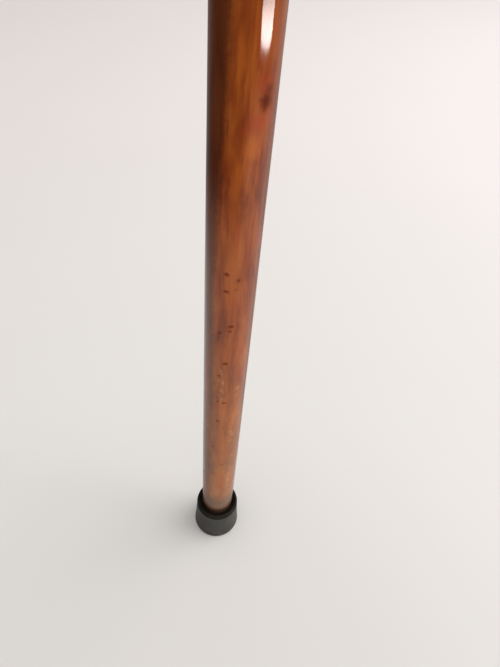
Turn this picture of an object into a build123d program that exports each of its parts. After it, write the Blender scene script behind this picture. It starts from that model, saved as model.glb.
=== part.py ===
from build123d import *
import os; os.makedirs("parts", exist_ok=True)

# A wooden walking cane that stands on one rubber foot, in millimetres.
# +Z runs up the shaft, and the origin is the centre of the sole, on the floor.
# The derby handle lies along X: its blunt nose points along +X and its hook along -X.

# Shaft
cane_length = 914.0  # floor to the top of the handle
tip_radius = 8.75  # wood at the mouth of the ferrule
top_radius = 11.0  # wood where it is parallel, below the collar
parallel_length = 84.0
bend_height = 100.0  # the taper is quicker below about here
bend_swell = 1.0  # how far it is pulled out there from a straight taper
foot_chamfer = 0.8

# Rubber ferrule
ferrule_height = 23.0
mouth_wall = 3.05  # rubber round the wood at the mouth
sole_flare = 1.5  # how much wider the sole is than the mouth, in radius
sole_thickness = 6.5  # rubber and washer under the wood
sole_edge_radius = 1.0
outer_lip_radius = 1.1
inner_lip_radius = 0.7
grip_gap = 0.05  # between the wood and what grips it
relief_gap = 0.45  # between the wood and the socket's wall, where it stands clear
rib_count = 2
rib_width = 2.2
rib_land = 1.0  # flat crest of a rib
mouth_band = 3.6  # plain stretch at the mouth that grips the wood
groove_count = 3  # rings cut in the sole for grip
groove_width = 1.0
groove_pitch = 2.7
groove_depth = 1.0
sole_centre_radius = 4.2  # plain middle of the sole

# Steel washer in the floor of the socket
washer_margin = 1.15  # from its edge to the edge of the wood
washer_bore_radius = 3.0
washer_thickness = 1.2
washer_chamfer = 0.2
washer_gap = 0.05

# Brass collar over the joint between the shaft and the handle
collar_height = 22.0
collar_wall = 0.9
collar_gap = 0.05
seat_depth = 0.6  # how far the wood is turned down under the collar
bead_radius = 0.75
bead_inset = 0.9  # from the collar's end to the middle of a bead
bead_sink = 0.1  # middle of a bead inside the tube's outer face

# Double-ended steel screw inside that joint
stud_radius = 4.0
stud_gap = 0.1
stud_in_shaft = 38.0
stud_in_handle = 26.0
stud_shank = 3.5  # plain stretch, each side of the joint
stud_end_room = 1.5  # empty bore past each end of the screw
thread_pitch = 3.2
thread_depth = 1.1
stud_chamfer = 0.8

# Derby handle, each section's depth up and down and its width side to side
nose_depth, nose_width = 26.0, 26.0
waist_depth, waist_width = 24.5, 24.0
saddle_depth, saddle_width = 25.0, 24.5
palm_depth, palm_width = 27.0, 26.4
shoulder_depth, shoulder_width = 23.0, 24.5
back_depth, back_width = 17.5, 20.5
hook_depth, hook_width = 13.0, 15.5
nose_reach = 58.0  # ahead of the shaft's axis
palm_reach = 26.0  # behind the shaft's axis, and so is the hook's reach
hook_reach = 70.0
shoulder_setback = 22.0  # middle of the shoulder ahead of the back of the hook
nose_dip, waist_dip, saddle_dip = 7.5, 5.8, 4.0  # top line below the top of the handle
shoulder_drop, back_drop = 19.0, 36.0  # middle line below the top of the handle
hook_drop = 58.0  # end of the hook below the top of the handle
hook_tuck = 3.0  # how far the hook turns in under the handle
nose_round, hook_round = 8.0, 4.5  # radius of each rounded end
neck_height = 13.0  # bare wood between the collar and the underside of the grip
neck_flare = 6.0  # how far the neck widens fore and aft before it enters the grip
neck_inset = 1.25  # from the side of the grip in to the side of the neck

# Heights that follow from these
grip_underside = cane_length - saddle_dip - saddle_depth
collar_top = grip_underside - neck_height
collar_foot = collar_top - collar_height
joint_height = (collar_top + collar_foot) / 2
taper_top = collar_foot - parallel_length
taper = (top_radius - tip_radius) / (taper_top - ferrule_height)

# Radii that follow from these
seat_radius = top_radius - seat_depth
mouth_radius = tip_radius + mouth_wall
sole_radius = mouth_radius + sole_flare
washer_radius = tip_radius - washer_margin


def wood_radius(height):
    # Radius of a straight taper, which the wood keeps inside the ferrule
    return tip_radius + taper * (height - ferrule_height)


# Shaft: one turned stick, its taper slightly bellied up to the parallel stretch, with a seat for the collar
with BuildPart() as shaft:
    with BuildSketch(Plane.XZ):
        with BuildLine():
            Bezier(
                (tip_radius, ferrule_height),
                (wood_radius(bend_height) + bend_swell, bend_height),
                (top_radius, taper_top),
            )
            Polyline(
                (top_radius, taper_top),
                (top_radius, collar_foot),
                (seat_radius, collar_foot),
                (seat_radius, joint_height),
                (0, joint_height),
                (0, sole_thickness),
                (wood_radius(sole_thickness), sole_thickness),
                (tip_radius, ferrule_height),
            )
        make_face()
    revolve(axis=Axis.Z)
    chamfer(shaft.edges().group_by(Axis.Z)[0], foot_chamfer)
    with BuildSketch(Plane.XY.offset(joint_height)):
        Circle(stud_radius + stud_gap)
    extrude(amount=-stud_in_shaft - stud_end_room, mode=Mode.SUBTRACT)

# Ferrule: a rubber cup with ribs that grip the wood and ring grooves in its sole
band_foot = ferrule_height - mouth_band
rib_pitch = (band_foot - sole_thickness) / (rib_count + 1)
socket_outline = [(0, sole_thickness), (wood_radius(sole_thickness) + relief_gap, sole_thickness)]
for rib in range(rib_count):
    middle = sole_thickness + (rib + 1) * rib_pitch
    for reach, gap in (
        (-rib_width / 2, relief_gap),
        (-rib_land / 2, grip_gap),
        (rib_land / 2, grip_gap),
        (rib_width / 2, relief_gap),
    ):
        socket_outline.append((wood_radius(middle + reach) + gap, middle + reach))
socket_outline += [
    (wood_radius(band_foot - rib_land / 2) + relief_gap, band_foot - rib_land / 2),
    (wood_radius(band_foot) + grip_gap, band_foot),
    (wood_radius(ferrule_height) + grip_gap, ferrule_height),
    (0, ferrule_height),
]

with BuildPart() as ferrule:
    with BuildSketch(Plane.XZ):
        with BuildLine():
            Polyline(
                (0, 0),
                (sole_radius, 0),
                (mouth_radius, ferrule_height),
                (0, ferrule_height),
                close=True,
            )
        make_face()
    revolve(axis=Axis.Z)
    with BuildSketch(Plane.XZ):
        with BuildLine():
            Polyline(*socket_outline, close=True)
        make_face()
    revolve(axis=Axis.Z, mode=Mode.SUBTRACT)
    fillet(ferrule.edges().group_by(Axis.Z)[0], sole_edge_radius)
    fillet(ferrule.edges().group_by(Axis.Z)[-1].sort_by(SortBy.RADIUS)[-1], outer_lip_radius)
    fillet(ferrule.edges().group_by(Axis.Z)[-1].sort_by(SortBy.RADIUS)[0], inner_lip_radius)
    with BuildSketch(Plane.XY.offset(sole_thickness)):
        Circle(washer_radius + washer_gap)
    extrude(amount=-washer_thickness, mode=Mode.SUBTRACT)
    with BuildSketch(Plane.XY):
        for groove in range(groove_count):
            groove_inner = sole_centre_radius + groove * groove_pitch
            Circle(groove_inner + groove_width)
            Circle(groove_inner, mode=Mode.SUBTRACT)
    extrude(amount=groove_depth, mode=Mode.SUBTRACT)

# Washer: it keeps the end of the wood from cutting through the rubber
with BuildPart() as ferrule_washer:
    with BuildSketch(Plane.XY.offset(sole_thickness - washer_thickness)):
        Circle(washer_radius)
        Circle(washer_bore_radius, mode=Mode.SUBTRACT)
    extrude(amount=washer_thickness)
    chamfer(ferrule_washer.edges().filter_by(GeomType.CIRCLE), washer_chamfer)

# Collar: a brass tube with a rolled bead at each end
collar_inner = seat_radius + collar_gap
collar_outer = collar_inner + collar_wall
with BuildPart() as collar:
    with BuildSketch(Plane.XY.offset(collar_foot)):
        Circle(collar_outer)
        Circle(collar_inner, mode=Mode.SUBTRACT)
    extrude(amount=collar_height)
    with BuildSketch(Plane.XZ):
        with Locations(
            (collar_outer - bead_sink, collar_foot + bead_inset),
            (collar_outer - bead_sink, collar_top - bead_inset),
        ):
            Circle(bead_radius)
    revolve(axis=Axis.Z)

# Screw: a wood thread at each end, shown as rings, and a plain shank across the joint
core_radius = stud_radius - thread_depth
stud_foot = joint_height - stud_in_shaft
stud_top = joint_height + stud_in_handle


def ring_threads(start, length):
    # Outline of as many thread rings as the length holds, going up from the start
    rings = int(length / thread_pitch)
    outline = []
    for ring in range(rings):
        outline.append((core_radius, start + ring * thread_pitch))
        outline.append((stud_radius, start + (ring + 0.5) * thread_pitch))
    return outline + [(core_radius, start + rings * thread_pitch)]


with BuildPart() as joint_stud:
    with BuildSketch(Plane.XZ):
        with BuildLine():
            Polyline(
                (0, stud_foot),
                (core_radius - stud_chamfer, stud_foot),
                *ring_threads(stud_foot + stud_chamfer, stud_in_shaft - stud_shank - 2 * stud_chamfer),
                (stud_radius, joint_height - stud_shank),
                (stud_radius, joint_height + stud_shank),
                *ring_threads(
                    joint_height + stud_shank + stud_chamfer,
                    stud_in_handle - stud_shank - 2 * stud_chamfer,
                ),
                (core_radius - stud_chamfer, stud_top),
                (0, stud_top),
                close=True,
            )
        make_face()
    revolve(axis=Axis.Z)

# Handle: rounded sections along a middle line from the nose, over the shaft, to the hook
back_middle = back_depth / 2 - hook_reach
grip_stations = [
    (Vector(nose_reach, 0, cane_length - nose_dip - nose_depth / 2), nose_depth, nose_width),
    (Vector(nose_reach / 2, 0, cane_length - waist_dip - waist_depth / 2), waist_depth, waist_width),
    (Vector(0, 0, cane_length - saddle_dip - saddle_depth / 2), saddle_depth, saddle_width),
    (Vector(-palm_reach, 0, cane_length - palm_depth / 2), palm_depth, palm_width),
    (Vector(shoulder_setback - hook_reach, 0, cane_length - shoulder_drop), shoulder_depth, shoulder_width),
    (Vector(back_middle, 0, cane_length - back_drop), back_depth, back_width),
    (Vector(back_middle + hook_tuck, 0, cane_length - hook_drop), hook_depth, hook_width),
]
middle_line = Edge.make_spline([station[0] for station in grip_stations])
neck_half_depth = top_radius + neck_flare
neck_half_width = saddle_width / 2 - neck_inset
with BuildPart() as handle:
    for middle, depth, width in grip_stations:
        with BuildSketch(Plane(origin=middle, x_dir=(0, 1, 0), z_dir=middle_line.tangent_at(middle))):
            Ellipse(width / 2, depth / 2)
    loft()
    grip_ends = handle.faces().filter_by(GeomType.PLANE).sort_by(Axis.X)
    fillet(grip_ends[-1].edges(), nose_round)
    fillet(grip_ends[0].edges(), hook_round)
    with BuildSketch(Plane.XY.offset(collar_top)):
        Circle(top_radius)
    with BuildSketch(Plane.XY.offset(grip_underside)):
        Ellipse((top_radius + neck_half_depth) / 2, (top_radius + neck_half_width) / 2)
    with BuildSketch(Plane.XY.offset(grip_underside + saddle_depth / 2)):
        Ellipse(neck_half_depth, neck_half_width)
    loft()
    with BuildSketch(Plane.XY.offset(joint_height)):
        Circle(seat_radius)
    extrude(amount=collar_top - joint_height)
    with BuildSketch(Plane.XY.offset(joint_height)):
        Circle(stud_radius + stud_gap)
    extrude(amount=stud_in_handle + stud_end_room, mode=Mode.SUBTRACT)

# Each piece is labelled and written under its own name
for name, piece in {
    "shaft": shaft,
    "ferrule": ferrule,
    "ferrule_washer": ferrule_washer,
    "collar": collar,
    "joint_stud": joint_stud,
    "handle": handle,
}.items():
    piece.part.label = name
    export_step(piece.part, f"parts/{name}.step")
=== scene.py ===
import math

import bmesh
import bpy
import numpy as np
from mathutils import Matrix, Vector, noise


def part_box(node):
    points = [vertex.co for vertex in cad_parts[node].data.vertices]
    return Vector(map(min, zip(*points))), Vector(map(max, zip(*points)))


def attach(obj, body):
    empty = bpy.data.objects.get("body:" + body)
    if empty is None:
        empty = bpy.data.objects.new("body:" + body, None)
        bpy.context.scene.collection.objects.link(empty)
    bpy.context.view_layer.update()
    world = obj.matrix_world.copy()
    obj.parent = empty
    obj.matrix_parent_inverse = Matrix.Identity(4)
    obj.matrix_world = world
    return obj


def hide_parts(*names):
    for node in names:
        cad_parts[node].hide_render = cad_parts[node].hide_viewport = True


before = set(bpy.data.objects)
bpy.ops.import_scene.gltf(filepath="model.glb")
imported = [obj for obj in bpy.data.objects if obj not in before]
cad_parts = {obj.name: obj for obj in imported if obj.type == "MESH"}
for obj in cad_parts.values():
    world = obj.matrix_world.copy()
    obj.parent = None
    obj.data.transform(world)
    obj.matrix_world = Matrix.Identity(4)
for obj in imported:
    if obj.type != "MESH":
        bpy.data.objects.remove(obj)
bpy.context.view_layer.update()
mm = 0.001


# a wire is one output socket; sums written with wires add their Math nodes
class Wire:
    def __init__(self, tree, socket=None):
        self.tree = tree
        self.socket = socket

    def node(self, kind, settings=None, inputs=None, out=0):
        made = self.tree.nodes.new(kind)
        for key, value in (settings or {}).items():
            if key == "stops":
                ramp = made.color_ramp.elements
                for extra in range(len(value) - 2):
                    ramp.new(0.5)
                for stop, (place, colour) in zip(ramp, value):
                    stop.position = place
                    stop.color = colour
            else:
                setattr(made, key, value)
        for key, value in (inputs or {}).items():
            if isinstance(value, Wire):
                self.tree.links.new(value.socket, made.inputs[key])
            else:
                made.inputs[key].default_value = value
        return Wire(self.tree, made.outputs[out] if made.outputs else None)

    def sums(self, operation, first, second):
        return self.node("ShaderNodeMath", {"operation": operation}, {0: first, 1: second})

    def __add__(self, other):
        return self.sums("ADD", self, other)

    def __radd__(self, other):
        return self.sums("ADD", other, self)

    def __sub__(self, other):
        return self.sums("SUBTRACT", self, other)

    def __rsub__(self, other):
        return self.sums("SUBTRACT", other, self)

    def __mul__(self, other):
        return self.sums("MULTIPLY", self, other)

    def __rmul__(self, other):
        return self.sums("MULTIPLY", other, self)

    def largest(self, other):
        return self.sums("MAXIMUM", self, other)

    def rise(self, low, high, bottom=0.0, top=1.0):
        # goes smoothly from bottom to top as this value goes from low to high
        return self.node(
            "ShaderNodeMapRange",
            {"interpolation_type": "SMOOTHSTEP"},
            {"Value": self, "From Min": low, "From Max": high, "To Min": bottom, "To Max": top},
        )

    def tint(self, under, over, how="MIX"):
        # two colours mixed by this value
        return self.node(
            "ShaderNodeMix", {"data_type": "RGBA", "blend_type": how}, {0: self, 6: under, 7: over}, out=2
        )

    def ramp(self, *stops):
        return self.node("ShaderNodeValToRGB", {"stops": stops}, {0: self})

    def stretch(self, sizes):
        return self.node("ShaderNodeVectorMath", {"operation": "MULTIPLY"}, {0: self, 1: sizes})

    def grain(self, scale, detail=3.0, roughness=0.55, distortion=0.0, seed=0.0):
        # noise over this vector, 0 to 1
        return self.node(
            "ShaderNodeTexNoise",
            {"noise_dimensions": "4D"},
            {
                "Vector": self,
                "W": seed,
                "Scale": scale,
                "Detail": detail,
                "Roughness": roughness,
                "Distortion": distortion,
            },
        )

    def measured(self, operation, other=(0.0, 0.0, 0.0)):
        # one number from this vector: its LENGTH, its DISTANCE or its DOT_PRODUCT with another
        return self.node("ShaderNodeVectorMath", {"operation": operation}, {0: self, 1: other}, out="Value")

    def axis(self, name):
        return self.node("ShaderNodeSeparateXYZ", inputs={0: self}, out=name)


def rgb(red, green, blue):
    # a colour as a screen shows it, 0 to 255, turned into light
    shown = [part / 255 for part in (red, green, blue)]
    light = [((part + 0.055) / 1.055) ** 2.4 if part > 0.04 else part / 12.92 for part in shown]
    return (*light, 1.0)


def newMaterial(name):
    material = bpy.data.materials.new(name)
    material.use_nodes = True
    material.node_tree.nodes.clear()
    wire = Wire(material.node_tree)
    return material, wire, wire.node("ShaderNodeTexCoord", out="Object")


def surface(wire, settings, bump=None, depth=0.00005):
    # one shader on the output, with an optional bump of that depth
    inputs = dict(settings)
    if bump is not None:
        inputs["Normal"] = wire.node(
            "ShaderNodeBump", inputs={"Strength": 1.0, "Distance": depth, "Height": bump}
        )
    shader = wire.node("ShaderNodeBsdfPrincipled", inputs=inputs)
    wire.node("ShaderNodeOutputMaterial", inputs={"Surface": shader})


# studio: a pale floor, a softbox low on the right, one high on the right, and a broad light from above
studio = {
    "cameraPlace": (0.0, -0.1454, 0.3064),
    "cameraTurn": (-3.573, 45.604, 6.081),  # pan, tilt and roll in degrees
    "lens": 27.04,
    "floorReach": 40.0,
    "floorColour": (230, 226, 222),
    "floorNearShade": (222, 218, 214),
    "floorUnderBox": (185, 181, 178),
    "floorFar": (234, 227, 224),
    # where each of those shades starts and is full, in metres from the middle of its patch
    "floorFront": (0, -0.16, 0),
    "nearShadeReach": (0.27, 0.07),
    "farReach": (0.1, 0.7),
    "underBoxReach": (1.6, 0.0),
    "farGlow": (0.205, 0.21, 0.205, 1.0),  # lifts the floor far off to the backdrop's colour
    "glowReach": (1.2, 4.2),
    "glowFromBox": (1.0, 3.4),
    # each softbox: degrees round from -Y towards +X, distance, height of its middle, size, power,
    # and the height aimed at, or None for straight down
    "keySoftbox": (44.0, 1.9, 0.75, (1.5, 1.1), 23.0, 0.15),
    "sideSoftbox": (102.0, 1.9, 1.9, (2.4, 1.8), 42.0, None),
    "overheadPower": 2.15,
    "overheadSpread": 110,
    "fill": 0.02,
    "mirroredFill": 0.4,
    # the card that the varnish mirrors: its foot's turn and height from one side to the other
    "cardFoot": (
        (42.0, 0.05),
        (45.0, 0.012),
        (50.0, 0.004),
        (66.0, 0.0),
        (72.0, 0.004),
        (78.0, 0.016),
        (80.0, 0.03),
    ),
    "cardDistance": 1.02,
    # its head's turn and height: low at the left, where it would glare in views from behind
    "cardHead": ((42.0, 0.2), (55.0, 0.3), (59.0, 1.2), (80.0, 1.2)),
    "cardStrips": 24,
    # its glow at the foot and above, the share left higher up, and the heights where each change ends
    "cardGlow": (22.0, 9.0),
    "cardTopGlow": 0.33,
    "cardGlowHeights": (0.03, 0.09),
    "cardTopHeights": (0.14, 0.3),
    # the dark sheet: its half width, the turns that it treats differently, where it starts and is full
    # towards the front, the card and the far rim, and how full
    "ringWidth": 3.0,
    "ringTurns": (80.0, 118.0, 156.0),
    "ringFront": (0.16, 0.5),
    "ringRight": (0.3, 1.0),
    "ringRim": (0.02, 0.1),
    "ringFull": 0.93,
    "backdrop": (230, 226, 223),
}


def around(turn, distance, height):
    turn = math.radians(turn)
    return Vector((distance * math.sin(turn), -distance * math.cos(turn), height))


def link(thing):
    bpy.context.scene.collection.objects.link(thing)
    return thing


def softbox(name, place, target, size, power, colour):
    light = bpy.data.lights.new(name, "AREA")
    light.shape = "RECTANGLE"
    light.size, light.size_y = size
    light.energy = power
    light.color = colour
    lamp = link(bpy.data.objects.new(name, light))
    lamp.location = place
    lamp.rotation_euler = (target - place).to_track_quat("-Z", "Y").to_euler()
    lamp.visible_camera = False
    return lamp


def squareOf(half, height):
    return [(-half, -half, height), (half, -half, height), (half, half, height), (-half, half, height)]


def sheetOf(name, corners, material):
    mesh = bpy.data.meshes.new(name)
    mesh.from_pydata(corners, [], [tuple(range(len(corners)))])
    mesh.materials.append(material)
    return link(bpy.data.objects.new(name, mesh))


camera = link(bpy.data.objects.new("camera", bpy.data.cameras.new("camera")))
pan, tilt, roll = (math.radians(part) for part in studio["cameraTurn"])
camera.matrix_world = (
    Matrix.Translation(studio["cameraPlace"])
    @ Matrix.Rotation(pan, 4, "Z")
    @ Matrix.Rotation(tilt, 4, "X")
    @ Matrix.Rotation(roll, 4, "Z")
)
camera.data.lens = studio["lens"]
camera.data.sensor_width = 36.0
camera.data.clip_start = 0.01
bpy.context.scene.camera = camera
bpy.context.scene.view_settings.view_transform = "Standard"

lampTints = {"keySoftbox": (1.0, 0.985, 0.96), "sideSoftbox": (1.0, 1.0, 1.0)}
lamps = {}
for name, tint in lampTints.items():
    turned, distance, height, size, power, aim = studio[name]
    lampPlace = around(turned, distance, height)
    target = Vector((lampPlace.x, lampPlace.y, 0)) if aim is None else Vector((0, 0, aim))
    lamps[name] = softbox(name, lampPlace, target, size, power, tint)
lamps["keySoftbox"].visible_glossy = False

# a broad even light from straight above
overhead = bpy.data.lights.new("overhead", "SUN")
overhead.energy = studio["overheadPower"]
overhead.angle = math.radians(studio["overheadSpread"])
overheadLamp = link(bpy.data.objects.new("overhead", overhead))
overheadLamp.visible_glossy = False

world = bpy.data.worlds.new("studioAir")
world.use_nodes = True
world.node_tree.nodes.clear()
bpy.context.scene.world = world
air = Wire(world.node_tree)
seen = air.node("ShaderNodeLightPath", out="Is Camera Ray")
mirrored = air.node("ShaderNodeLightPath", out="Is Glossy Ray")
lightAir, mirrorAir = (
    tuple(studio[level] * part for part in (0.97, 0.98, 1.0)) + (1.0,) for level in ("fill", "mirroredFill")
)
airColour = seen.tint(mirrored.tint(lightAir, mirrorAir), rgb(*studio["backdrop"]))
glow = air.node("ShaderNodeBackground", inputs={"Color": airColour, "Strength": 1.0})
air.node("ShaderNodeOutputWorld", inputs={"Surface": glow})

floorMaterial, wire, place = newMaterial("paleFloor")
cloud = place.grain(9.0, 2.0)
fromFoot = place.measured("LENGTH")
fromFront = place.measured("DISTANCE", studio["floorFront"])
# painted shade: the floor a little darker in a soft patch in front of the foot
colour = fromFront.rise(*studio["nearShadeReach"]).tint(rgb(*studio["floorColour"]), rgb(*studio["floorNearShade"]))
colour = fromFoot.rise(*studio["farReach"]).tint(colour, rgb(*studio["floorFar"]))
# greyer right under the side softbox, so that it isn't burnt out there
boxTurn, boxDistance = studio["sideSoftbox"][:2]
fromBox = place.measured("DISTANCE", tuple(around(boxTurn, boxDistance, 0.0)))
colour = fromBox.rise(*studio["underBoxReach"]).tint(colour, rgb(*studio["floorUnderBox"]))
farOff = fromFoot.rise(*studio["glowReach"]) * fromBox.rise(*studio["glowFromBox"])
surface(
    wire,
    {
        "Base Color": (cloud * 0.03).tint(colour, rgb(150, 147, 143)),
        "Roughness": 0.9,
        "Specular IOR Level": 0.0,
        "Emission Color": farOff.tint((0, 0, 0, 1), studio["farGlow"]),
        "Emission Strength": 1.0,
    },
)
floor = sheetOf("floor", squareOf(studio["floorReach"], 0), floorMaterial)
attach(floor, "ferrule")
# the key lights the cane but not the floor, where it would leave a hot patch
spared = bpy.data.collections.new("keySpares")
spared.objects.link(floor)
spared.collection_objects[0].light_linking.link_state = "EXCLUDE"
lamps["keySoftbox"].light_linking.receiver_collection = spared


def onlyInVarnish(thing):
    # mirrored by shiny surfaces, but neither seen nor lighting anything
    thing.visible_camera = False
    thing.visible_diffuse = False
    thing.visible_transmission = False
    thing.visible_shadow = False


# a dark sheet round the foot, denser with distance, keeps the varnish deep higher up
ringMaterial, wire, place = newMaterial("darkRing")
distance = place.measured("LENGTH")
heading = place.node("ShaderNodeVectorMath", {"operation": "NORMALIZE"}, {0: place})
towardsCard, towardsSide, towardsRim = (
    heading.measured("DOT_PRODUCT", tuple(around(turned, 1.0, 0.0))) for turned in studio["ringTurns"]
)
rightness = towardsCard.rise(0.2, 0.9)
backness = heading.axis("Y").rise(0.1, 0.9)
inFrontRing = distance.rise(*studio["ringFront"])
toRightRing = distance.rise(*studio["ringRight"])
besideRim = towardsSide.rise(0.75, 0.97)
behindRim = towardsRim.rise(0.78, 0.97)
fullness = (inFrontRing * (1 - rightness) + toRightRing * rightness) * (1 - backness * 0.3)
fullness = fullness * (1 - besideRim * 0.5)
fullness = fullness.largest(distance.rise(*studio["ringRim"]) * behindRim * 0.5)
fullness = fullness * distance.rise(studio["ringWidth"], studio["ringWidth"] / 2)
surface(
    wire,
    {
        "Base Color": rgb(14, 12, 11),
        "Roughness": 0.9,
        "Specular IOR Level": 0.0,
        "Alpha": fullness * studio["ringFull"],
    },
)
ring = sheetOf("darkRing", squareOf(studio["ringWidth"], 0.001), ringMaterial)
onlyInVarnish(ring)
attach(ring, "ferrule")

# the bright card stands on the floor to the right; its slanted foot ends the highlight in a point
cardMaterial, wire, place = newMaterial("brightCard")
level = place.axis("Z")
glow = level.rise(*studio["cardGlowHeights"], *studio["cardGlow"])
glow = glow * level.rise(*studio["cardTopHeights"], 1.0, studio["cardTopGlow"])
lamp = wire.node("ShaderNodeEmission", inputs={"Color": (1.0, 0.985, 0.96, 1.0), "Strength": glow})
wire.node("ShaderNodeOutputMaterial", inputs={"Surface": lamp})
footTurns, footHeights = zip(*studio["cardFoot"])
headTurns, headHeights = zip(*studio["cardHead"])
card = bpy.data.meshes.new("brightCard")
corners = []
for turned in np.linspace(footTurns[0], footTurns[-1], studio["cardStrips"] + 1):
    for height in (np.interp(turned, footTurns, footHeights), np.interp(turned, headTurns, headHeights)):
        corners.append(around(turned, studio["cardDistance"], height))
card.from_pydata(corners, [], [(c, c + 2, c + 3, c + 1) for c in range(0, len(corners) - 2, 2)])
card.materials.append(cardMaterial)
onlyInVarnish(link(bpy.data.objects.new("brightCard", card)))
print("studio set")


# mesh helpers
def pieceFrom(name, mesh, material, body, node):
    # a finished piece: smooth faces, its material, its body, and the CAD node that it stands for
    mesh.materials.append(material)
    for face in mesh.polygons:
        face.use_smooth = True
    mesh.set_sharp_from_angle(angle=math.radians(38))
    piece = link(bpy.data.objects.new(name, mesh))
    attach(piece, body)
    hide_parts(node)
    return piece


def lathe(name, outline, segments):
    # turns an outline of (radius, height) round Z; a radius of 0 at an end closes that end
    shape = bmesh.new()
    turns = [2 * math.pi * count / segments for count in range(segments)]
    rings = []
    for radius, height in outline:
        if radius < 1e-9:
            rings.append([shape.verts.new((0, 0, height))])
        else:
            ring = [(radius * math.sin(turn), -radius * math.cos(turn), height) for turn in turns]
            rings.append([shape.verts.new(point) for point in ring])
    loops = list(zip(rings, rings[1:]))
    if len(rings[0]) > 1 and len(rings[-1]) > 1:
        loops.append((rings[-1], rings[0]))
    for lower, upper in loops:
        for count in range(segments):
            following = (count + 1) % segments
            if len(lower) == 1:
                shape.faces.new((lower[0], upper[following], upper[count]))
            elif len(upper) == 1:
                shape.faces.new((lower[count], lower[following], upper[0]))
            else:
                shape.faces.new((lower[count], lower[following], upper[following], upper[count]))
    bmesh.ops.recalc_face_normals(shape, faces=shape.faces)
    mesh = bpy.data.meshes.new(name)
    shape.to_mesh(mesh)
    shape.free()
    return mesh


def pointsOf(mesh):
    # radius, turn in degrees from -Y towards +X, and height of each point
    points = np.empty(len(mesh.vertices) * 3)
    mesh.vertices.foreach_get("co", points)
    east, north, height = points.reshape(-1, 3).T
    return np.hypot(east, north), np.degrees(np.arctan2(east, -north)), height


def movePoints(mesh, radius, turn, height):
    turn = np.radians(turn)
    points = np.stack([radius * np.sin(turn), -radius * np.cos(turn), height], axis=1)
    mesh.vertices.foreach_set("co", points.ravel())
    mesh.update()


def paint(mesh, name, values):
    mesh.attributes.new(name, "FLOAT", "POINT").data.foreach_set("value", values)


def eased(a, b, c, d, t):
    # goes from b to c as t goes from 0 to 1, in a curve that a and d bend
    return 0.5 * (2 * b + (c - a) * t + (2 * a - 5 * b + 4 * c - d) * t**2 + (3 * b - a - 3 * c + d) * t**3)


def throughPoints(points, steps):
    # a smooth outline through points, with that many steps between each two
    ends = [points[0], *points, points[-1]]
    outline = []
    for four in zip(ends, ends[1:], ends[2:], ends[3:]):
        for count in range(steps):
            outline.append(tuple(eased(*parts, count / steps) for parts in zip(*four)))
    return outline + [points[-1]]


def lumps(mesh, *layers):
    # noise at each point of a mesh, from layers of strength and fineness
    total = np.zeros(len(mesh.vertices))
    for strength, fine in layers:
        total += strength * np.array([noise.noise(vertex.co * fine) for vertex in mesh.vertices])
    return total


def outlineOfNode(node):
    # widest radius at each height where a turned CAD node has points
    radius, turn, height = pointsOf(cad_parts[node].data)
    levels = sorted(set(np.round(height, 6)))
    return levels, [radius[np.abs(height - level) < 2e-6].max() for level in levels]


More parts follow.
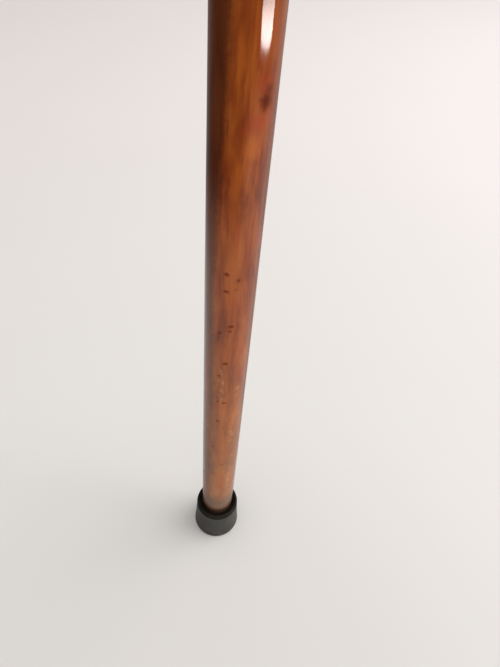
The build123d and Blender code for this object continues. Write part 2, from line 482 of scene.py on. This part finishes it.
# shaft: a turned stick with slight hand-scraped waves, a knot, and worm-like pits near the foot
shaftLook = {
    "segments": 112,
    "fineRow": 0.42 * mm,
    "footRow": 0.7 * mm,
    "middleRow": 0.62 * mm,
    "upperRow": 3.2 * mm,
    "wave": 0.05 * mm,
    "boreRadius": 4.1 * mm,
    "boreDepth": 39.5 * mm,
    "seatRadius": 10.4 * mm,
    "collarFoot": 850 * mm,
    # each mark: turn in degrees, height in mm, half its width and half its height in mm, strength
    "knots": [
        (40, 257.5, 2.1, 2.5, 0.85),
        (44, 260.5, 1.3, 1.6, 0.6),
        (-128, 512, 2.0, 3.2, 0.9),
        (168, 331, 1.4, 2.2, 0.8),
    ],
    "pits": [
        (-9, 200.5, 0.9, 0.86, 1.0),
        (16, 198, 0.84, 0.92, 0.8),
        (-9, 193, 0.96, 0.69, 1.0),
        (-3, 192.5, 0.54, 0.46, 0.7),
        (10.5, 194, 0.6, 0.57, 0.7),
        (7, 176, 1.14, 0.8, 0.9),
        (5, 173.5, 0.84, 0.69, 0.7),
        (-18, 172, 0.84, 0.8, 0.7),
        (3, 170.5, 0.48, 0.46, 0.6),
        (-2, 155, 0.96, 0.75, 1.0),
        (-16, 147, 0.72, 0.69, 0.8),
        (-12, 139, 0.6, 0.69, 0.7),
        (-16, 129.5, 0.72, 0.69, 0.9),
        (2, 129, 0.72, 0.69, 1.0),
        (-13, 115, 0.84, 0.69, 0.8),
        (-25.5, 92.5, 0.72, 0.57, 0.8),
        (7, 77, 0.84, 0.57, 0.7),
    ],
    # pale flecks on small dents; those at turns 26 to 36 are painted highlight that the dents catch
    "flecks": [
        (-11, 150, 0.58, 0.92, 0.7),
        (-14, 144, 0.51, 1.03, 0.7),
        (-11, 139, 0.58, 0.92, 0.8),
        (-13, 134, 0.51, 1.03, 0.7),
        (-9, 129.5, 0.58, 0.8, 0.7),
        (-8, 148, 0.51, 1.26, 0.8),
        (-5, 143, 0.43, 1.49, 0.9),
        (-8, 138, 0.51, 1.72, 0.8),
        (-3, 136.5, 0.43, 1.38, 0.8),
        (-6, 132, 0.51, 1.15, 0.7),
        (36, 138, 1.16, 1.15, 0.7),
        (33, 133, 0.87, 0.92, 0.5),
        (26, 106, 0.65, 1.03, 0.9),
        (33, 103, 0.65, 1.15, 0.9),
        (29, 98, 0.58, 1.03, 0.6),
        (33, 80, 0.72, 0.92, 0.6),
        (36, 72, 0.65, 0.92, 0.8),
        (33, 66, 0.72, 1.03, 0.8),
        (36, 59, 0.72, 1.15, 1.0),
        (31, 54, 0.58, 0.92, 0.6),
        (36, 48, 0.58, 0.92, 0.5),
    ],
    "reds": [
        (30, 252, 3.2, 2.6, 0.8),
        (37, 262, 2.6, 3.0, 0.6),
        (45, 253, 2.0, 4.0, 0.5),
        (12, 250, 1.6, 1.5, 0.5),
        (39, 161, 1.2, 3.5, 0.6),
        (39, 148, 1.6, 3.5, 0.7),
        (67, 139, 1.5, 3.0, 0.6),
        (14, 187, 1.0, 4.0, 0.5),
        (30, 88, 0.8, 4.0, 0.7),
        (12, 54, 1.5, 6.0, 0.4),
        (4, 216, 1.2, 5.0, 0.4),
        (22, 271, 0.8, 4.0, 0.5),
    ],
    "ambers": [
        (-7, 266, 0.9, 9.0, 0.9),
        (-2, 226, 1.8, 13.0, 0.5),
        (1, 190, 2.0, 14.0, 0.5),
        (-3, 158, 1.8, 11.0, 0.6),
        (-1, 124, 1.8, 10.0, 0.5),
        (3, 92, 2.0, 11.0, 0.7),
        (4, 62, 2.3, 12.0, 0.8),
        (3, 40, 2.4, 8.0, 0.7),
        (22, 245, 2.4, 3.2, 1.0),
        (2, 236, 1.6, 5.0, 0.5),
        (-2, 100, 1.2, 9.0, 0.8),
        (10, 75, 1.0, 12.0, 0.5),
        (-2, 165, 1.1, 7.0, 0.4),
    ],
    # painted shade on the side turned away from the key light: its edge's turn, and its strength, at some
    # heights in mm
    "paintedShadeEdge": [
        (0, -30),
        (150, -30),
        (187, -40),
        (205, -36),
        (221, -32),
        (247, -25),
        (276, -20),
        (420, -24),
        (900, -30),
    ],
    "paintedShadeDepth": [(25, 0.15), (55, 0.5), (150, 0.6), (215, 0.9), (300, 1.0), (620, 0.5), (900, 0.3)],
    # the fainter painted shade on the far right: its strength, and the turns between which it comes and
    # goes
    "paintedShadeRight": 0.36,
    "paintedShadeRightFrom": (44, 60),
    "paintedShadeRightUntil": (105, 135),
    # how deep the marks dent the wood
    "pitDepth": 0.1 * mm,
    "knotDepth": 0.06 * mm,
    "fleckDepth": 0.03 * mm,
    "scatterSeed": 11,
    "scatterPits": 90,
}


def heightsBetween(low, high, step):
    count = max(1, round((high - low) / step))
    return [low + (high - low) * part / count for part in range(count)]


collarFoot = shaftLook["collarFoot"]
levels, radii = outlineOfNode("shaft")
shaftFoot, shaftTop = levels[0], levels[-1]
# the bore has points too, at levels where the wood has none
onWood = (np.array(radii) > 1.2 * shaftLook["boreRadius"]) & (np.array(levels) < collarFoot + 0.01 * mm)
woodLevels, woodRadii = np.array(levels)[onWood], np.array(radii)[onWood]


def woodRadius(height):
    return float(np.interp(height, woodLevels, woodRadii))


rows = [shaftFoot, shaftFoot + 0.4 * mm]
rows += heightsBetween(shaftFoot + 0.8 * mm, 70 * mm, shaftLook["footRow"])
rows += heightsBetween(70 * mm, 210 * mm, shaftLook["fineRow"])
rows += heightsBetween(210 * mm, 300 * mm, shaftLook["middleRow"])
rows += heightsBetween(300 * mm, collarFoot, shaftLook["upperRow"]) + [collarFoot]
shaftOutline = [(0, shaftFoot), (woodRadius(shaftFoot) * 0.5, shaftFoot)]
shaftOutline += [(woodRadius(row), row) for row in rows]
shaftOutline += [
    (shaftLook["seatRadius"], collarFoot),
    (shaftLook["seatRadius"], (collarFoot + shaftTop) / 2),
    (shaftLook["seatRadius"], shaftTop),
    (shaftLook["boreRadius"], shaftTop),
    (shaftLook["boreRadius"], shaftTop - shaftLook["boreDepth"] / 2),
    (shaftLook["boreRadius"], shaftTop - shaftLook["boreDepth"]),
    (0, shaftTop - shaftLook["boreDepth"]),
]
shaftMesh = lathe("shaftStick", shaftOutline, shaftLook["segments"])
radius, turn, height = pointsOf(shaftMesh)
print("shaft turned,", len(shaftMesh.polygons), "faces")


def markStrength(marks, ragged):
    # how strongly the marks of one kind show at each point, 0 to 1
    total = np.zeros_like(radius)
    for markTurn, markHeight, halfWidth, halfHeight, strength in marks:
        near = np.abs(height - markHeight * mm) < 3.2 * halfHeight * mm
        sideways = (turn[near] - markTurn + 180) % 360 - 180
        across = np.radians(sideways) * radius[near] / (halfWidth * mm)
        up = (height[near] - markHeight * mm) / (halfHeight * mm)
        away = (across**2 + up**2) * ragged[near]
        total[near] = np.maximum(total[near], strength * np.exp(-(away**1.5)))
    return total


ragged = 1.0 + lumps(shaftMesh, (0.75, 1100), (0.5, 420))
chance = np.random.default_rng(shaftLook["scatterSeed"])
scatter = []
for count in range(shaftLook["scatterPits"]):
    markTurn = chance.uniform(-180, 180)
    markHeight = 32 + 560 * chance.random() ** 2.2
    size = chance.uniform(0.28, 0.75)
    inFront = -48 < markTurn < 80 and markHeight < 290
    if not inFront:
        tall = size * chance.uniform(0.8, 1.5)
        scatter.append((markTurn, markHeight, size, tall, chance.uniform(0.4, 1.0)))
pits = markStrength(shaftLook["pits"] + scatter, ragged)
knots = markStrength(shaftLook["knots"], ragged)
flecks = markStrength(shaftLook["flecks"], ragged)
wave = np.array(
    [
        noise.noise((vertex.co.x * 70, vertex.co.y * 70, vertex.co.z * 22))
        + 0.5 * noise.noise((vertex.co.x * 240, vertex.co.y * 240, vertex.co.z * 60))
        for vertex in shaftMesh.vertices
    ]
)
outside = (height > 23.5 * mm) & (height < collarFoot - 0.5 * mm) & (radius > 6 * mm)
depth = shaftLook["wave"] * (1 + np.clip(wave, -1, 1))
depth += shaftLook["pitDepth"] * pits + shaftLook["knotDepth"] * knots + shaftLook["fleckDepth"] * flecks
movePoints(shaftMesh, radius - depth * outside, turn, height)
paint(shaftMesh, "pit", pits)
# painted shade: the colour darkened on the side away from the key light and on the far right rim
edge = np.interp(height / mm, *zip(*shaftLook["paintedShadeEdge"])) + 5 * (ragged - 1)
shade = np.clip((edge + 5 - turn) / 12, 0, 1) * np.clip((turn + 125) / 30, 0, 1)
shade *= np.interp(height / mm, *zip(*shaftLook["paintedShadeDepth"]))
raggedTurn = turn + 8 * (ragged - 1)
comes = np.interp(raggedTurn, shaftLook["paintedShadeRightFrom"], (0, 1))
goes = np.interp(turn, shaftLook["paintedShadeRightUntil"], (1, 0))
shade += shaftLook["paintedShadeRight"] * comes * goes
paint(shaftMesh, "shade", shade)
paint(shaftMesh, "knot", knots)
paint(shaftMesh, "fleck", flecks)
paint(shaftMesh, "red", markStrength(shaftLook["reds"], 0.5 + 0.5 * ragged))
paint(shaftMesh, "amber", markStrength(shaftLook["ambers"], 0.5 + 0.5 * ragged))
print("shaft marked")

stainedWood = {
    "deep": (96, 41, 15),
    "brown": (128, 57, 20),
    "warm": (152, 76, 28),
    "light": (174, 96, 40),
    "darkFibre": (150, 120, 110),
    "paleFibre": (255, 250, 240),
    "pore": (64, 28, 12),
    "shade": (66, 30, 14),
    "worn": (184, 134, 82),
    "pit": (94, 40, 20),
    "knot": (62, 16, 12),
    # pale flecks, partly painted highlight on small dents
    "fleck": (184, 142, 92),
    "red": (150, 50, 28),
    "amber": (178, 92, 28),
    "footGrey": (104, 83, 69),
    "paintedFootShade": (44, 32, 24),
    "fibres": 1300.0,
    "figure": 230.0,
    "coatRoughness": 0.07,
    "coatIndex": 1.5,
}


def woodColours(wire, place, along, seed):
    # stained hardwood: broad figure, fine fibres and dark pores, all drawn out along the grain
    figure = place.stretch(along(0.16)).grain(stainedWood["figure"], 3.0, 0.6, 0.5, seed)
    cloud = place.stretch(along(0.45)).grain(80.0, 2.0, 0.5, 0.3, seed + 2)
    fibres = place.stretch(along(0.035)).grain(stainedWood["fibres"], 4.0, 0.62, 0.15, seed + 4)
    pores = place.stretch(along(0.06)).grain(2300.0, 2.0, 0.5, 0.0, seed + 6).rise(0.6, 0.74)
    tone = figure * 0.62 + cloud * 0.38
    colour = tone.ramp(
        (0.33, rgb(*stainedWood["deep"])),
        (0.44, rgb(*stainedWood["brown"])),
        (0.54, rgb(*stainedWood["warm"])),
        (0.68, rgb(*stainedWood["light"])),
    )
    streaks = fibres.ramp((0.3, rgb(*stainedWood["darkFibre"])), (0.7, rgb(*stainedWood["paleFibre"])))
    colour = (fibres.rise(0.32, 0.62) * 0.55).tint(colour, streaks, "MULTIPLY")
    colour = (pores * 0.5).tint(colour, rgb(*stainedWood["pore"]))
    return colour, fibres, pores


shaftWood, wire, place = newMaterial("shaftWood")
colour, fibres, pores = woodColours(wire, place, lambda drawn: (1.0, 1.0, drawn), 8.0)
level = place.axis("Z")
patches = place.stretch((1.0, 1.0, 0.5)).grain(210.0, 4.0, 0.6, 0.4, 9.0)
wear = level.rise(0.2, 0.03) * patches.rise(0.3, 0.6, 0.45, 1.0)
footBand = (level + patches * 0.004).rise(0.05, 0.0365)  # greyer and darker towards the ferrule
# painted shade: the wood darkest just above the ferrule's lip, standing for its shadow and its dark
# reflection
paintedFootShade = level.rise(0.0285, 0.0248)
colour = (wear * 0.42).tint(colour, rgb(*stainedWood["worn"]))
# painted shade is the first of these marks; the others are the wood's own colours, the flecks partly
# painted highlight
mark = {}
for name, strength in (("shade", 0.75), ("amber", 0.55), ("red", 0.6), ("fleck", 0.45), ("knot", 0.92)):
    mark[name] = wire.node("ShaderNodeAttribute", {"attribute_name": name}, out="Fac")
    colour = (mark[name] * strength).tint(colour, rgb(*stainedWood[name]))
mark["pit"] = wire.node("ShaderNodeAttribute", {"attribute_name": "pit"}, out="Fac")
colour = mark["pit"].rise(0.05, 0.85, 0.0, 0.8).tint(colour, rgb(*stainedWood["pit"]))
colour = (footBand * 0.82).tint(colour, rgb(*stainedWood["footGrey"]))
colour = (paintedFootShade * 0.9).tint(colour, rgb(*stainedWood["paintedFootShade"]))
varnish = (1 - wear * 0.3) * (1 - footBand * 0.3) * (1 - mark["pit"] * 0.9) * (1 - mark["knot"] * 0.7)
surface(
    wire,
    {
        "Base Color": colour,
        "Roughness": wear.rise(0.0, 1.0, 0.36, 0.56) + (fibres - 0.5) * 0.12,
        "Coat Weight": varnish,
        "Coat Roughness": stainedWood["coatRoughness"],
        "Coat IOR": stainedWood["coatIndex"],
        "Specular IOR Level": 0.0,
    },
    fibres * 0.5 - pores * 0.6 + patches * wear,
    0.00004,
)
pieceFrom("shaftWood", shaftMesh, shaftWood, "cane", "shaft")
print("shaft done")


# ferrule: a moulded rubber cup, its lip dished towards the wood, with rings cut in its sole
ferruleLook = {
    "segments": 160,
    "height": 23.0,
    "mouthRadius": 11.8,
    "soleRadius": 13.2,
    "grip": 0.05,
    "relief": 0.45,
    "ribs": (10.8, 15.1),
    "bandFoot": 19.4,
    "lipFoot": 19.2,
    "lipRoll": 0.14,
    "grooves": (4.2, 6.9, 9.6),
    "grooveWidth": 1.0,
    "grooveDepth": 1.0,
    "seatFloor": 5.3,
    "seatRadius": 7.65,
    "soleThickness": 6.5,
    "seamTurns": (45, -135),
    "seamHeight": 0.06,
    "wallTop": 22.0,
    "wallFoot": 1.2,
    "wallSteps": 39,
    "bulge": 0.07,
    "black": (24, 22, 19),
    "grey": (47, 45, 41),
    "lipShadeBlack": (22, 18, 15),
    "dust": (98, 95, 88),
}


def socketRadius(height, gap):
    return woodRadius(height * mm) / mm + gap


def ferruleOutline(look):
    # from the middle of the socket's floor up over the lip, down the wall and across the sole
    relief, grip, floorHeight = look["relief"], look["grip"], look["soleThickness"]
    outline = [(0, look["seatFloor"]), (look["seatRadius"], look["seatFloor"])]
    outline += [(look["seatRadius"], floorHeight), (socketRadius(floorHeight, relief), floorHeight)]
    for rib in look["ribs"]:
        for up, gap in ((-1.1, relief), (-0.5, grip), (0.5, grip), (1.1, relief)):
            outline.append((socketRadius(rib + up, gap), rib + up))
    band = look["bandFoot"]
    outline += [(socketRadius(band - 0.5, relief), band - 0.5), (socketRadius(band, grip), band)]
    inner, outer = socketRadius(21.0, grip), look["mouthRadius"]
    lip = [
        (inner, 21.0),
        (inner + 0.04, 21.55),
        (inner + 0.35, 22.0),
        (inner + 0.9, 22.3),
        (inner + 1.45, 22.68),
        (inner + 1.85, 22.95),
        (outer - 0.85, look["height"]),
        (outer - 0.4, 22.86),
        (outer - 0.08, 22.5),
        (outer + 0.04, 22.0),
    ]
    outline += throughPoints(lip, 3)
    top, foot, steps = look["wallTop"], look["wallFoot"], look["wallSteps"]
    for step in range(1, steps + 1):
        height = top - (top - foot) * step / steps
        bulge = look["bulge"] * math.sin(math.pi * (height - 1) / (top - 1))
        aboveFoot = max(height - look["lipFoot"], 0) / (top - look["lipFoot"])
        roll = look["lipRoll"] * math.sin(math.pi * aboveFoot)
        wall = outer + 0.04 + (look["soleRadius"] - outer - 0.04) * (top - height) / (top - 1)
        outline.append((wall - bulge + roll, height))
    sole = [(13.12, 0.8), (13.02, 0.42), (12.78, 0.14), (12.4, 0.0)]
    outline += throughPoints(sole, 3)
    for inside in reversed(look["grooves"]):
        outside = inside + look["grooveWidth"]
        deep = look["grooveDepth"]
        outline += [(outside, 0), (outside - 0.06, deep), (inside + 0.06, deep), (inside, 0)]
    return [(radius * mm, height * mm) for radius, height in outline + [(0, 0)]]


ferruleMesh = lathe("ferruleCup", ferruleOutline(ferruleLook), ferruleLook["segments"])
radius, turn, height = pointsOf(ferruleMesh)
onWall = (radius > 11.5 * mm) & (height > 1 * mm) & (height < 22.6 * mm)
seam = np.zeros_like(radius)
for seamTurn in ferruleLook["seamTurns"]:
    seam = np.maximum(seam, np.exp(-(((turn - seamTurn + 180) % 360 - 180) / 1.1) ** 2))
soft = lumps(ferruleMesh, (1.0, 190), (0.4, 700))
lump = 0.035 * mm * (np.clip(soft, -1, 1) - 1)
movePoints(ferruleMesh, radius + (lump + ferruleLook["seamHeight"] * mm * seam) * onWall, turn, height)

blackRubber, wire, place = newMaterial("blackRubber")
speck = place.grain(2600.0, 3.0, 0.6, 0.0, 1.0)
smear = place.stretch((1.0, 1.0, 0.6)).grain(190.0, 4.0, 0.6, 0.8, 2.0)
rings = place.stretch((0.02, 0.02, 1.0)).grain(1500.0, 2.0, 0.5, 0.0, 3.0)
level = place.axis("Z")
dust = smear.rise(0.42, 0.72) * 0.34 + level.rise(0.002, 0.0, 0.0, 0.3) + speck.rise(0.66, 0.8) * 0.25
# painted shade: the lip darker, less glossy and less dusty than the wall
lipShade = level.rise(0.0192, 0.0208)
colour = smear * level.rise(0.0, 0.018, 0.5, 1.0)
colour = colour.tint(rgb(*ferruleLook["black"]), rgb(*ferruleLook["grey"]))
colour = (lipShade * 0.8).tint(colour, rgb(*ferruleLook["lipShadeBlack"]))
colour = (dust * (1 - lipShade * 0.8)).tint(colour, rgb(*ferruleLook["dust"]))
surface(
    wire,
    {
        "Base Color": colour,
        "Roughness": 0.8,
        "Specular IOR Level": 0.0,
        "Coat Weight": smear.rise(0.3, 0.7, 0.92, 0.68) * (1 - lipShade * 0.8),
        "Coat Roughness": 0.48,
        "Coat IOR": 1.48,
    },
    speck * 0.5 + rings * 0.5 + smear * 0.4,
    0.00005,
)
pieceFrom("ferruleRubber", ferruleMesh, blackRubber, "ferrule", "ferrule")
print("ferrule done")


# collar: a drawn brass tube with a rolled bead at each end and two turned lines
collarLook = {
    "segments": 128,
    "inner": 10.45,
    "outer": 11.35,
    "foot": 850.0,
    "top": 872.0,
    "bead": 0.75,
    "beadMiddle": 11.25,
    "beadInset": 0.9,
    "lines": (854.5, 856.0, 866.0, 867.5),
    "lineDepth": 0.14,
}


def collarOutline(look):
    outline = [(look["inner"], look["foot"] + 0.15), (look["inner"] + 0.15, look["foot"])]

    def bead(middle, start, finish):
        for degrees in np.linspace(start, finish, 15):
            across, up = math.cos(math.radians(degrees)), math.sin(math.radians(degrees))
            outline.append((look["beadMiddle"] + look["bead"] * across, middle + look["bead"] * up))

    outline.append((look["outer"] - 0.35, look["foot"]))
    bead(look["foot"] + look["beadInset"], -88, 80)
    outline.append((look["outer"], look["foot"] + 2.0))
    for line in look["lines"]:
        for up, deep in ((-0.22, 0.0), (-0.1, 0.8), (0.0, 1.0), (0.1, 0.8), (0.22, 0.0)):
            outline.append((look["outer"] - deep * look["lineDepth"], line + up))
        if line == look["lines"][1]:
            for height in (858.5, 861.0, 863.5):
                outline.append((look["outer"], height))
    outline.append((look["outer"], look["top"] - 2.0))
    bead(look["top"] - look["beadInset"], -80, 88)
    outline += [(look["outer"] - 0.35, look["top"]), (look["inner"] + 0.15, look["top"])]
    outline += [(look["inner"], look["top"] - 0.15), (look["inner"], (look["foot"] + look["top"]) / 2)]
    return [(radius * mm, height * mm) for radius, height in outline]


collarMesh = lathe("collarTube", collarOutline(collarLook), collarLook["segments"])
radius, turn, height = pointsOf(collarMesh)
dings = lumps(collarMesh, (1.0, 260))
outerFace = (radius > 11.2 * mm) & (radius < 11.4 * mm)
movePoints(collarMesh, radius - 0.03 * mm * np.clip(dings, 0, 1) * outerFace, turn, height)


def metal(name, bright, dull, roughness, brush, seed):
    # brushed metal with a duller film in patches and fine scratches
    material, wire, place = newMaterial(name)
    lines = place.stretch(brush).grain(1.0, 4.0, 0.6, 0.0, seed)
    film = place.grain(170.0, 4.0, 0.6, 0.6, seed + 1)
    specks = place.grain(1500.0, 2.0, 0.5, 0.0, seed + 2).rise(0.63, 0.74)
    colour = film.rise(0.42, 0.68).tint(rgb(*bright), rgb(*dull))
    colour = (specks * 0.55).tint(colour, rgb(*(part * 0.5 for part in dull)))
    surface(
        wire,
        {
            "Base Color": colour,
            "Metallic": 1 - specks * 0.4,
            "Roughness": film.rise(0.4, 0.7, roughness, roughness + 0.16) + (lines - 0.5) * 0.16,
        },
        lines * 0.7 + film * 0.4 - specks * 0.5,
        0.00002,
    )
    return material


brass = metal("brass", (226, 186, 108), (176, 134, 70), 0.2, (260.0, 260.0, 9000.0), 5.0)
pieceFrom("collarBrass", collarMesh, brass, "cane", "collar")
print("collar done")


# steel: the joint's screw and the washer stay as the CAD has them
zincSteel = metal("zincSteel", (196, 197, 192), (150, 148, 136), 0.28, (500.0, 500.0, 7000.0), 15.0)
washerSteel = metal("washerSteel", (186, 186, 184), (128, 122, 114), 0.34, (3000.0, 900.0, 900.0), 25.0)
for node, material in (("joint_stud", zincSteel), ("ferrule_washer", washerSteel)):
    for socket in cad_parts[node].material_slots:
        socket.material = material
print("steel done")


# handle: the derby grip, its neck blended into the underside by hand
handleLook = {
    "voxel": 0.7 * mm,
    "blendRounds": 26,
    "evenRounds": 3,
    "neckTop": 889 * mm,
    "neckBand": 8 * mm,
    "neckReach": 24 * mm,
    "boreClear": 6.2 * mm,
    "seatTop": 873.2 * mm,
}


def smoothed(mesh, weights, rounds):
    # eases each point towards the middle of its neighbours, by its weight
    points = np.empty(len(mesh.vertices) * 3)
    mesh.vertices.foreach_get("co", points)
    points = points.reshape(-1, 3)
    pairs = np.empty(len(mesh.edges) * 2, int)
    mesh.edges.foreach_get("vertices", pairs)
    first, second = pairs.reshape(-1, 2).T
    count = np.bincount(pairs, minlength=len(points))[:, None]
    for done in range(rounds):
        total = np.zeros_like(points)
        for here, there in ((first, second), (second, first)):
            for part in range(3):
                total[:, part] += np.bincount(here, points[there, part], len(points))
        points = points + weights[:, None] * 0.6 * (total / count - points)
    mesh.vertices.foreach_set("co", points.ravel())
    mesh.update()


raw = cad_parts["handle"].data.copy()
raw.materials.clear()
blank = link(bpy.data.objects.new("handleBlank", raw))
remesh = blank.modifiers.new("voxels", "REMESH")
remesh.mode = "VOXEL"
remesh.voxel_size = handleLook["voxel"]
bpy.context.view_layer.update()
handleMesh = bpy.data.meshes.new_from_object(blank.evaluated_get(bpy.context.evaluated_depsgraph_get()))
bpy.data.objects.remove(blank)
radius, turn, height = pointsOf(handleMesh)
free = height > handleLook["seatTop"]
bored = radius < handleLook["boreClear"]
grip = (free & ~bored).astype(float)
smoothed(handleMesh, grip, handleLook["evenRounds"])
nearLevel = np.exp(-(((height - handleLook["neckTop"]) / handleLook["neckBand"]) ** 2))
nearNeck = nearLevel * np.exp(-((radius / handleLook["neckReach"]) ** 4))
smoothed(handleMesh, grip * np.clip(1.6 * nearNeck, 0, 1), handleLook["blendRounds"])
low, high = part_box("handle")
points = np.empty(len(handleMesh.vertices) * 3)
handleMesh.vertices.foreach_get("co", points)
handleMesh.vertices.foreach_set("co", np.clip(points.reshape(-1, 3), low, high).ravel())
handleMesh.update()
print("handle shaped,", len(handleMesh.polygons), "faces")

handleWood, wire, place = newMaterial("handleWood")
colour, fibres, pores = woodColours(wire, place, lambda drawn: (drawn, 1.0, 1.0), 33.0)
palm = place.grain(36.0, 3.0, 0.5, 0.3, 41.0)
colour = (palm.rise(0.45, 0.7) * 0.3).tint(colour, rgb(*stainedWood["deep"]))
surface(
    wire,
    {
        "Base Color": colour,
        "Roughness": palm.rise(0.4, 0.7, 0.3, 0.42) + (fibres - 0.5) * 0.1,
        "Coat Weight": palm.rise(0.5, 0.8, 1.0, 0.75),
        "Coat Roughness": stainedWood["coatRoughness"],
        "Coat IOR": stainedWood["coatIndex"],
        "Specular IOR Level": 0.0,
    },
    fibres * 0.5 - pores * 0.6,
    0.00003,
)
pieceFrom("handleWood", handleMesh, handleWood, "cane", "handle")
print("handle done")
